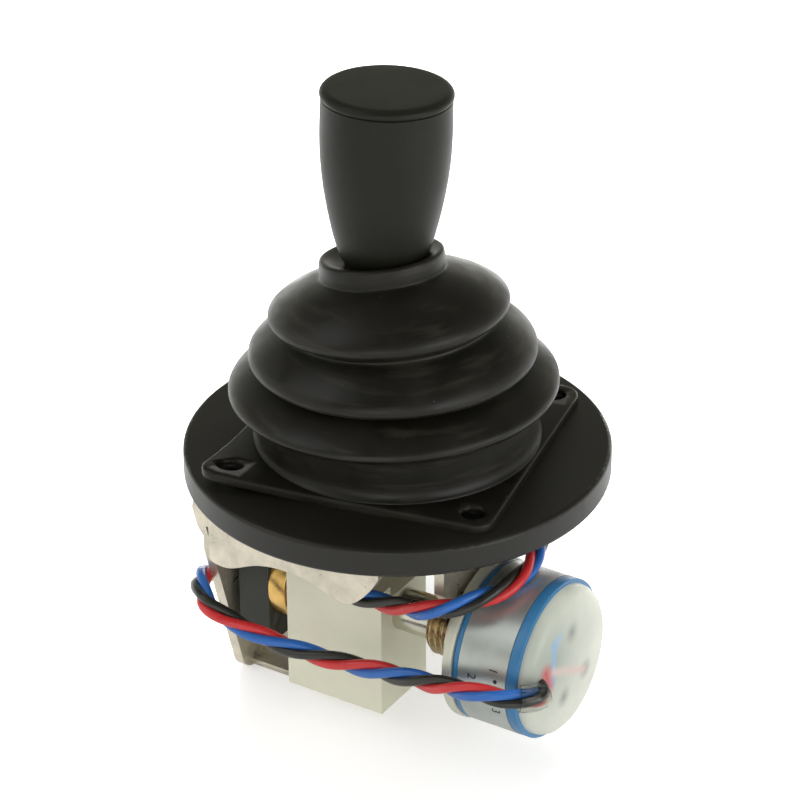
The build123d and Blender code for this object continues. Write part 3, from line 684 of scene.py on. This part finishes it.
def soften(bm, width_mm, segments=2, sharp_degrees=35):
    """Bevels every edge that is sharper than an angle."""
    sharp = [edge for edge in bm.edges
             if len(edge.link_faces) == 2 and edge.calc_face_angle(0) > math.radians(sharp_degrees)]
    bmesh.ops.bevel(bm, geom=sharp, offset=width_mm * MM, offset_type="OFFSET", affect="EDGES",
                    segments=segments, profile=0.5, clamp_overlap=True, material=-1)


# %% [markdown]
# ## The knob
# The knob is a barrel that widens upwards from a rounded foot, with a thin pressed-in lid. The
# seam between them is a real groove, and the lid's rim is rounded, so it catches a soft line of
# light. The outline is a smooth line that few control points pull into shape. Springs hold the
# stick only roughly upright, and in the photograph it leans back a little.

# %% Knob and lid
knob_pivot = Vector((STICK_AXIS.x, STICK_AXIS.y, 32.0)) * MM
knob_lean = math.radians(3.0)
barrel_controls = [
    (0.0, 30.6), (4.4, 30.6), (5.0, 31.3), (5.9, 32.6), (6.45, 34.4), (6.85, 35.8), (7.75, 39.8), (8.5, 44.6),
    (8.78, 49.8), (8.66, 54.6),
]
lid_controls = [(8.5, 54.8), (8.78, 54.8), (8.86, 55.5), (8.3, 56.05), (7.2, 56.1), (0.0, 56.1)]


def smooth_outline(controls):
    """A smooth outline that control points (radius, height) pull into shape."""
    line = spline_points([(radius, 0, height) for radius, height in controls])
    return [(point.x / MM, point.z / MM) for point in line]


def lean_back(bm):
    """Leans a piece of the knob towards +Y about its foot."""
    lean = Matrix.Rotation(-knob_lean, 4, "X")
    stand = Matrix.Translation(knob_pivot) @ lean @ Matrix.Translation((0, 0, -knob_pivot.z))
    bmesh.ops.transform(bm, matrix=stand, verts=bm.verts)


for name, outline, node in (
    ("knob_barrel", smooth_outline(barrel_controls) + [(8.5, 54.76), (0.0, 54.76)], "knob"),
    ("knob_lid", [(0.0, 54.8)] + smooth_outline(lid_controls), "knob_cap"),
):
    bm = lathe(outline, 128)
    lean_back(bm)
    piece = make_object(name, bm, [knob_plastic], 40)
    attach(piece, "stick")
    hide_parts(node)
    print(name, len(piece.data.polygons), "faces")

# %% [markdown]
# ## The bellows
# The rubber boot has a collar that grips the knob's foot and three folds like overlapping domes.
# A moulded boot never sits quite true: here the collar has slid down and leans, and each fold
# leans a little less. The outline is spun, each ring is leaned and drawn over as the photograph
# shows it, and the sheet gets its wall by Solidify and its roundness by Subdivision Surface. It
# is made in two pieces that meet deep in a groove, as the stick tilts about two axes.

# %% Bellows
upper_line = [
    (4.5, 28.5), (4.8, 28.9), (6.4, 29.4), (7.7, 29.95), (8.3, 29.85), (8.48, 29.35), (8.48, 27.6),
    (8.4, 27.25), (8.8, 27.0), (10.6, 26.4), (12.8, 25.1), (14.8, 23.6), (16.0, 22.3), (16.4, 21.5),
    (16.1, 20.75), (15.2, 20.2), (14.6, 19.95), (14.35, 19.6), (14.7, 19.2), (15.9, 18.6), (17.4, 17.5),
    (18.7, 16.3), (19.4, 15.4), (19.6, 14.6), (19.3, 13.95), (18.5, 13.55), (17.8, 13.4), (17.45, 13.15),
]
lower_line = [
    (17.45, 13.15), (17.8, 12.9), (19.0, 12.5), (20.5, 11.75), (21.7, 10.9), (22.3, 10.3), (22.5, 9.7),
    (22.2, 9.0), (21.4, 8.6), (20.3, 8.5), (19.4, 8.1), (19.05, 7.2), (19.0, 5.0), (19.0, 3.2),
    (19.15, 2.2), (19.5, 1.6), (19.9, 1.3),
]
# How far the boot has settled: height of the ring, its drop, its centre and its lean in degrees
# towards +X and +Y.
settled_rings = [
    (2.0, 0.0, 0.0, 0.0, 0.0, 0.0),
    (9.8, 0.6, -0.33, -0.33, -2.3, 0.1),
    (14.6, 0.5, -0.38, -0.38, -2.0, 0.2),
    (21.3, 0.75, -0.74, -0.74, -5.7, 0.9),
    (27.3, 1.4, -1.3, -1.36, -10.4, 5.3),
    (30.0, 1.4, -1.6, -1.2, -10.4, 5.3),
]
boot_wall = 1.1
boot_steps = 64


def settled_at(height):
    """Drop, centre and lean of the boot's ring at a height, between the rings that are listed."""
    for low, high in zip(settled_rings, settled_rings[1:]):
        if height <= high[0]:
            share = max(0.0, (height - low[0]) / (high[0] - low[0]))
            return [a + share * (b - a) for a, b in zip(low[1:], high[1:])]
    return list(settled_rings[-1][1:])


def settle(bm):
    """Drops, leans and draws over each ring of the boot."""
    for vertex in bm.verts:
        drop, x, y, lean_x, lean_y = settled_at(vertex.co.z / MM)
        angle = math.radians(math.hypot(lean_x, lean_y))
        lean = Matrix.Rotation(angle, 3, Vector((-lean_y, lean_x, 0)))
        centre = Vector((x * MM, y * MM, vertex.co.z + (FLANGE_TOP - drop) * MM))
        vertex.co = centre + lean @ Vector((vertex.co.x, vertex.co.y, 0))


# %% [markdown]
# The upper piece runs from the collar down into the groove, and the lower piece from the groove
# down to its foot.

# %% Two pieces of the boot
bend_from, bend_to, groove_drop = 1.3, 24.2, 0.5
foot_z = (FLANGE_TOP + bend_from) * MM
groove_z = (FLANGE_TOP + upper_line[-1][1] - groove_drop) * MM
collar_z = (FLANGE_TOP + bend_to) * MM
for name, line, low_body, high_body, start_z, end_z in (
    ("boot_upper", upper_line, "gimbal", "stick", groove_z, collar_z),
    ("boot_lower", lower_line, "frame", "gimbal", foot_z, groove_z),
):
    bm = lathe(line, boot_steps)
    settle(bm)
    bmesh.ops.recalc_face_normals(bm, faces=bm.faces)
    outward = sum((face.normal.dot(face.calc_center_median()) > 0) for face in bm.faces)
    if outward < len(bm.faces) / 2:
        bmesh.ops.reverse_faces(bm, faces=bm.faces)
    boot = make_object(name, bm, [boot_rubber], 80)
    wall = boot.modifiers.new("Wall", "SOLIDIFY")
    wall.thickness = boot_wall * MM
    wall.offset = -1.0
    rounding = boot.modifiers.new("Rounding", "SUBSURF")
    rounding.levels = rounding.render_levels = 2
    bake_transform(boot)
    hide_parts("bellows")
    print(name, "bends from", round(start_z, 4), "to", round(end_z, 4))

# %% [markdown]
# ### The foot of the boot
# The boot's foot is a square pad, turned a little on the flange, with a hole at each corner for
# the panel screws. It is a grid that is extruded to its thickness, gets round corners from one
# bevel and soft upper edges from another, and has its holes cut by a Boolean. With no panel to
# press it down, its left corner has curled up.

# %% Square foot of the boot
pad_side, pad_height, pad_corner, pad_turn = 40.0, 1.3, 2.5, 11.4
hole_radius, hole_inset, boot_opening = 1.7, 3.1, 18.2
pad_grid, rim_round, cutter_height = 14, 0.4, 6.0
curl_out, curl_up, curl_reach, curl_power = 1.4, 1.5, 11.0, 1.6
bm = bmesh.new()
bmesh.ops.create_grid(bm, x_segments=pad_grid, y_segments=pad_grid, size=pad_side / 2 * MM)
raised = bmesh.ops.extrude_face_region(bm, geom=list(bm.faces))
top = [item for item in raised["geom"] if isinstance(item, bmesh.types.BMVert)]
bmesh.ops.translate(bm, vec=(0, 0, pad_height * MM), verts=top)
bmesh.ops.recalc_face_normals(bm, faces=bm.faces)
corner_out = pad_side / 2 * MM - 1e-6
upright = [edge for edge in bm.edges
           if all(abs(vertex.co.x) > corner_out and abs(vertex.co.y) > corner_out for vertex in edge.verts)]
bmesh.ops.bevel(bm, geom=upright, offset=pad_corner * MM, affect="EDGES", segments=6,
                profile=0.5, material=-1)
rim = [edge for edge in bm.edges
       if all(vertex.co.z > pad_height * MM / 2 for vertex in edge.verts)
       and len(edge.link_faces) == 2 and edge.calc_face_angle(0) > 1]
bmesh.ops.bevel(bm, geom=rim, offset=rim_round * MM, affect="EDGES", segments=3,
                profile=0.5, material=-1)
turn_pad = Matrix.Translation((0, 0, FLANGE_TOP * MM)) @ Matrix.Rotation(math.radians(pad_turn), 4, "Z")
bmesh.ops.transform(bm, matrix=turn_pad, verts=bm.verts)
pad = make_object("boot_foot_pad", bm, [boot_rubber], 50)
print("plain pad", len(pad.data.polygons), "faces")

# %% Holes in the foot, and its curled corner
cutter_bm = bmesh.new()
hole_out = (pad_side / 2 - hole_inset) * MM
for x, y in ((1, 1), (-1, 1), (-1, -1), (1, -1)):
    place = turn_pad @ Matrix.Translation((x * hole_out, y * hole_out, 0))
    bmesh.ops.create_cone(cutter_bm, cap_ends=True, segments=32, radius1=hole_radius * MM,
                          radius2=hole_radius * MM, depth=cutter_height * MM, matrix=place)
bmesh.ops.create_cone(cutter_bm, cap_ends=True, segments=64, radius1=boot_opening * MM,
                      radius2=boot_opening * MM, depth=cutter_height * MM, matrix=turn_pad)
cutter = make_object("pad_cutter", cutter_bm, [])
holes = pad.modifiers.new("Holes", "BOOLEAN")
holes.object = cutter
holes.solver = "EXACT"
bpy.context.view_layer.update()
cut_mesh = bpy.data.meshes.new_from_object(pad.evaluated_get(bpy.context.evaluated_depsgraph_get()))
pad.modifiers.clear()
pad.data = cut_mesh
bpy.data.objects.remove(cutter)
curled = (turn_pad.to_3x3() @ Vector((-1, -1, 0))).normalized()
corner_at = (math.hypot(pad_side, pad_side) / 2) * MM
for vertex in cut_mesh.vertices:
    inside = corner_at - vertex.co.dot(curled)
    share = max(0.0, 1 - inside / (curl_reach * MM)) ** curl_power
    vertex.co += share * (curl_out * curled + curl_up * Vector((0, 0, 1))) * MM
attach(pad, "frame")
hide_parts("bellows")
print("pad", len(pad.data.polygons), "faces")

# %% [markdown]
# ## The potentiometers
# Both are the same part, so each piece is turned once about its shaft and set down twice. The
# local z axis is the shaft's, x points to the side where the lead comes out, and y points down.

# %% Places of the two potentiometers
pot_places = {
    "x": Matrix(((0, 0, 1, 0), (-1, 0, 0, -8.1 * MM), (0, -1, 0, -16.8 * MM), (0, 0, 0, 1))),
    "y": Matrix(((1, 0, 0, -8.1 * MM), (0, 0, 1, 0), (0, -1, 0, -16.8 * MM), (0, 0, 0, 1))),
}
frame_side_at, body_from, body_to = 18.0, 20.1, 29.9
bushing_reach = {"x": 6.1, "y": 6.3}


def set_down(bm, axis, name, material, slot, *nodes, body="frame", smooth_degrees=40):
    """Places a turned bmesh on one potentiometer's axis and makes it a piece."""
    bmesh.ops.transform(bm, matrix=pot_places[axis], verts=bm.verts)
    piece = make_object(name, bm, [material], smooth_degrees)
    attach(piece, body)
    if nodes:
        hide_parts(*nodes)
    return piece


# %% [markdown]
# The bushing carries a real thread, one ridge after the other, and the face plate stands on a low
# hub against the frame.

# %% Face plate and threaded bushing
thread_pitch, thread_outer, thread_root, bore = 0.95, 4.5, 4.08, 3.05
tip_radius, tip_flare, tip_chamfer, thread_start, thread_end = 4.0, 0.2, 0.25, 0.35, 0.6
# One ridge: the radius of each of its corners, and their places as shares of the pitch.
ridge = [(thread_root, 0.0), (thread_outer, 0.35), (thread_outer, 0.55), (thread_root, 0.9)]
hub_radius, plate_radius, plate_from, plate_round = 5.6, 11.3, 18.7, 0.18
for axis in pot_places:
    tip = frame_side_at - bushing_reach[axis]
    outline = [(bore, tip), (tip_radius, tip), (tip_radius + tip_flare, tip + tip_chamfer)]
    at = tip + thread_start
    while at < frame_side_at - thread_end:
        outline += [(radius, at + share * thread_pitch) for radius, share in ridge]
        at += thread_pitch
    outline += [(thread_root, frame_side_at), (bore, frame_side_at)]
    set_down(lathe(outline, 96, closed=True), axis, f"pot_{axis}_bushing", thread_nickel, "pot_metal",
             f"pot_{axis}_front")
    plate = lathe([(bore, frame_side_at), (hub_radius, frame_side_at), (hub_radius, plate_from),
                   (plate_radius, plate_from), (plate_radius, body_from), (bore, body_from)],
                  128, closed=True)
    soften(plate, plate_round, 2)
    set_down(plate, axis, f"pot_{axis}_face", face_metal, "pot_metal", f"pot_{axis}_front")

# %% [markdown]
# The blue case is turned with a low step behind the face plate and a shallow bed for the label.

# %% Blue case and silver label
case_radius, case_bore, step_radius, step_to, case_round = 11.1, 3.3, 10.7, 20.4, 0.2
label_from, label_to, label_bed, label_edge = 21.05, 28.4, 10.95, 0.05
label_inner, label_outer = label_bed + 0.01, case_radius + 0.02
for axis in pot_places:
    case = lathe([(case_bore, body_from), (step_radius, body_from), (step_radius, step_to),
                  (case_radius, step_to), (case_radius, label_from), (label_bed, label_from),
                  (label_bed, label_to), (case_radius, label_to), (case_radius, body_to),
                  (case_bore, body_to)], 128, closed=True)
    soften(case, case_round, 3)
    set_down(case, axis, f"pot_{axis}_blue_case", blue_plastic, "blue_plastic", f"pot_{axis}_case")
    band = lathe([(label_inner, label_from + label_edge), (label_outer, label_from + label_edge),
                  (label_outer, label_to - label_edge), (label_inner, label_to - label_edge)],
                 128, closed=True)
    set_down(band, axis, f"pot_{axis}_silver_label", silver_label, "label_film", f"pot_{axis}_label")

# %% [markdown]
# ## The milky caps
# Each cap is thin milky plastic. The case, the three solder terminals and the wires behind it show
# through as soft shadows, so the finish darkens round points and lines that are fixed on the part.

# %% Milky plastic and caps
cap_outline = [
    (0.0, 32.42), (4.0, 32.4), (7.2, 32.28), (8.6, 32.05), (9.5, 31.7), (10.1, 31.2), (10.4, 30.6),
    (10.5, 29.9), (9.8, 29.9), (9.6, 30.7), (8.6, 31.4), (4.0, 31.8), (0.0, 31.82),
]
cap_inner_face, cap_roughness, cap_bump, cap_bump_mm = 32.3, 0.3, 0.08, 0.05
body_behind, body_shade_radius, terminal_shade_radius = (5.0, -3.0), 13.0, 1.9
terminal_spots = [(0.4, -5.2), (-3.4, 2.7), (2.3, 4.0)]
# Start, end, width and colour of each wire that shows through.
wires_behind = [
    ((3.5, -6.0), (4.9, -5.4), 1.1, (150, 178, 204)),
    ((4.9, -5.4), (5.4, 0.2), 1.1, (134, 168, 200)),
    ((5.4, -1.7), (-3.2, 2.6), 1.0, (204, 182, 174)),
    ((7.0, -2.3), (6.3, 0.4), 1.7, (190, 62, 66)),
]


def on_cap(place, x, y):
    """A point just under the cap's face, in the shared frame."""
    return tuple(place @ Vector((x * MM, y * MM, cap_inner_face * MM)))


def milky_finish(axis, place):
    """The cap's finish, with what shows through it on one potentiometer."""
    milky = bpy.data.materials.new(f"milky cap {axis}")
    milky.use_nodes = True
    tree = milky.node_tree
    shader = tree.nodes["Principled BSDF"]
    shader.inputs["Roughness"].default_value = cap_roughness
    grain = use(tree, surface, Grain_size_mm=0.8, Patch_size_mm=6.0)
    shown = blend_colours(tree, grain.outputs["Patches"], linear(204, 207, 195), linear(218, 220, 206))
    inside = use(tree, shadow_spot, Centre=on_cap(place, *body_behind), Radius_mm=body_shade_radius)
    shown = blend_colours(tree, inside.outputs["Shade"], shown, linear(146, 156, 146))
    for x, y in terminal_spots:
        spot = use(tree, shadow_spot, Centre=on_cap(place, x, y), Radius_mm=terminal_shade_radius)
        shown = blend_colours(tree, spot.outputs["Shade"], shown, linear(128, 132, 126))
    for start, end, width, colour in wires_behind:
        wire = use(tree, seen_line, From=on_cap(place, *start), To=on_cap(place, *end), Width_mm=width)
        shown = blend_colours(tree, wire.outputs["Shade"], shown, linear(*colour))
    tree.links.new(shown, shader.inputs["Base Color"])
    relief = tree.nodes.new("ShaderNodeBump")
    relief.inputs["Strength"].default_value = cap_bump
    relief.inputs["Distance"].default_value = cap_bump_mm * MM
    tree.links.new(grain.outputs["Height"], relief.inputs["Height"])
    tree.links.new(relief.outputs["Normal"], shader.inputs["Normal"])
    return milky


for axis, place in pot_places.items():
    set_down(lathe(cap_outline, 128), axis, f"pot_{axis}_milky_cap", milky_finish(axis, place), "clear_cup",
             f"pot_{axis}_cup", smooth_degrees=55)
print("cap face at", cap_outline[0][1], "mm along the shaft")

# %% [markdown]
# ## Terminal numbers on the label
# The label names its three terminals 1, 2 and 3, with a dot by the first. Each number is a text
# object turned into a thin mesh and wrapped round the case.

# %% Numbers wrapped round the case
label_radius = 11.13
ink_thickness = 0.012
# Sign, place along the shaft, degrees round the case and size.
numbers = [("1", 26.3, 15.0, 1.8), ("2", 23.2, 6.0, 1.8), ("3", 26.7, -18.0, 1.8), ("•", 26.7, 7.5, 2.4)]


def wrap_text(words, along_mm, degrees, size_mm):
    """A text mesh on the case's side: its top points along the shaft and it reads round the case."""
    text = bpy.data.curves.new("text", "FONT")
    text.body = words
    text.size = size_mm * MM
    text.extrude = ink_thickness * MM
    text.resolution_u = 6
    text.align_x = text.align_y = "CENTER"
    carrier = bpy.data.objects.new("text", text)
    mesh = bpy.data.meshes.new_from_object(carrier)
    bpy.data.objects.remove(carrier)
    bm = bmesh.new()
    bm.from_mesh(mesh)
    for vertex in bm.verts:
        turned = math.radians(degrees) - vertex.co.x / (label_radius * MM)
        out = label_radius * MM + vertex.co.z
        vertex.co = (out * math.cos(turned), -out * math.sin(turned), along_mm * MM + vertex.co.y)
    return bm


for axis in pot_places:
    for number, mark in enumerate(numbers):
        set_down(wrap_text(*mark), axis, f"pot_{axis}_mark_{number}", ink, "label_film")
print("marks on each label", len(numbers))

# %% [markdown]
# ## Bearing block, brass bush and tab
# The block ends a little higher than its CAD solid and is a little narrower, and the flange of its
# brass bush is the thicker for it. Under them a bent tab joins the left ear of the frame, which ties
# the folded sheet together at its lower corner.

# %% Shorter bearing block
block_rise, block_lower_end = 1.6, -26.0
block_narrower, block_right_side = 1.2, -11.6
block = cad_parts["bearing_block"]
bm = bmesh.new()
bm.from_mesh(block.data)
bmesh.ops.remove_doubles(bm, verts=bm.verts, dist=1e-6)
bmesh.ops.transform(bm, matrix=block.matrix_world, verts=bm.verts)
lower_end = [vertex for vertex in bm.verts if vertex.co.z < block_lower_end * MM]
bmesh.ops.translate(bm, vec=(0, 0, block_rise * MM), verts=lower_end)
right_side = [vertex for vertex in bm.verts if vertex.co.x > block_right_side * MM]
bmesh.ops.translate(bm, vec=(-block_narrower * MM, 0, 0), verts=right_side)
block_body = make_object("bearing_block_body", bm, [bearing_plastic], 30)
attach(block_body, "frame")
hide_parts("bearing_block")

# %% Brass bush
bush_bore, bush_radius, bush_flange_radius = 1.55, 3.0, 6.0
bush_from, bush_flange_from, bush_to = -16.2, -12.4, -9.7
bush = lathe([(bush_bore, bush_from), (bush_radius, bush_from), (bush_radius, bush_flange_from),
              (bush_flange_radius, bush_flange_from), (bush_flange_radius, bush_to), (bush_bore, bush_to)],
             96, closed=True)
soften(bush, 0.15, 2)
set_down(bush, "x", "brass_bush_flange", turned_brass, "brass", "brass_bush")

# %% Bent tab
tab_low, tab_high = Vector((-20.4, -8.9, -34.2)) * MM, Vector((-8.5, 1.0, -33.2)) * MM
bm = bmesh.new()
bmesh.ops.create_cube(bm, size=1.0)
bmesh.ops.scale(bm, vec=tab_high - tab_low, verts=bm.verts)
bmesh.ops.translate(bm, vec=(tab_high + tab_low) / 2, verts=bm.verts)
soften(bm, 0.3, 2)
tab = make_object("ear_lower_tab", bm, [sheet_steel], 40)
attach(tab, "frame")
print("tab", [round(side, 4) for side in tab_high - tab_low])

# %% [markdown]
# ## Finishes for the CAD parts that stay
# The folded frame, the gimbal, the gears and the blocks keep their CAD shape and get a finish.

# %% Assign finishes to CAD parts
finishes = {
    "flange_plate": flange_plastic, "frame": sheet_steel, "bail_bracket": sheet_steel,
    "frame_screws": zinc_steel, "bearing_screws": zinc_steel,
    "gimbal_ring": machined_steel, "gimbal_pin": zinc_steel,
    "gimbal_trunnions": zinc_steel, "sector_x": turned_brass, "sector_y": turned_brass,
    "stick_rod": ground_steel, "stick_hub": machined_steel, "knob_insert": turned_brass,
    "lock_nut": black_steel, "slotted_bail": machined_steel, "bail_trunnions": zinc_steel,
    "rotor_block": acetal, "rotor_pivot": zinc_steel, "pot_y_gear": acetal,
    "pot_x_shaft": ground_steel, "pot_y_shaft": ground_steel,
    "pot_x_terminals": solder_tin, "pot_y_terminals": solder_tin,
}
for node, material in finishes.items():
    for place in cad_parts[node].material_slots:
        place.material = material
print("finished CAD parts", len(finishes))
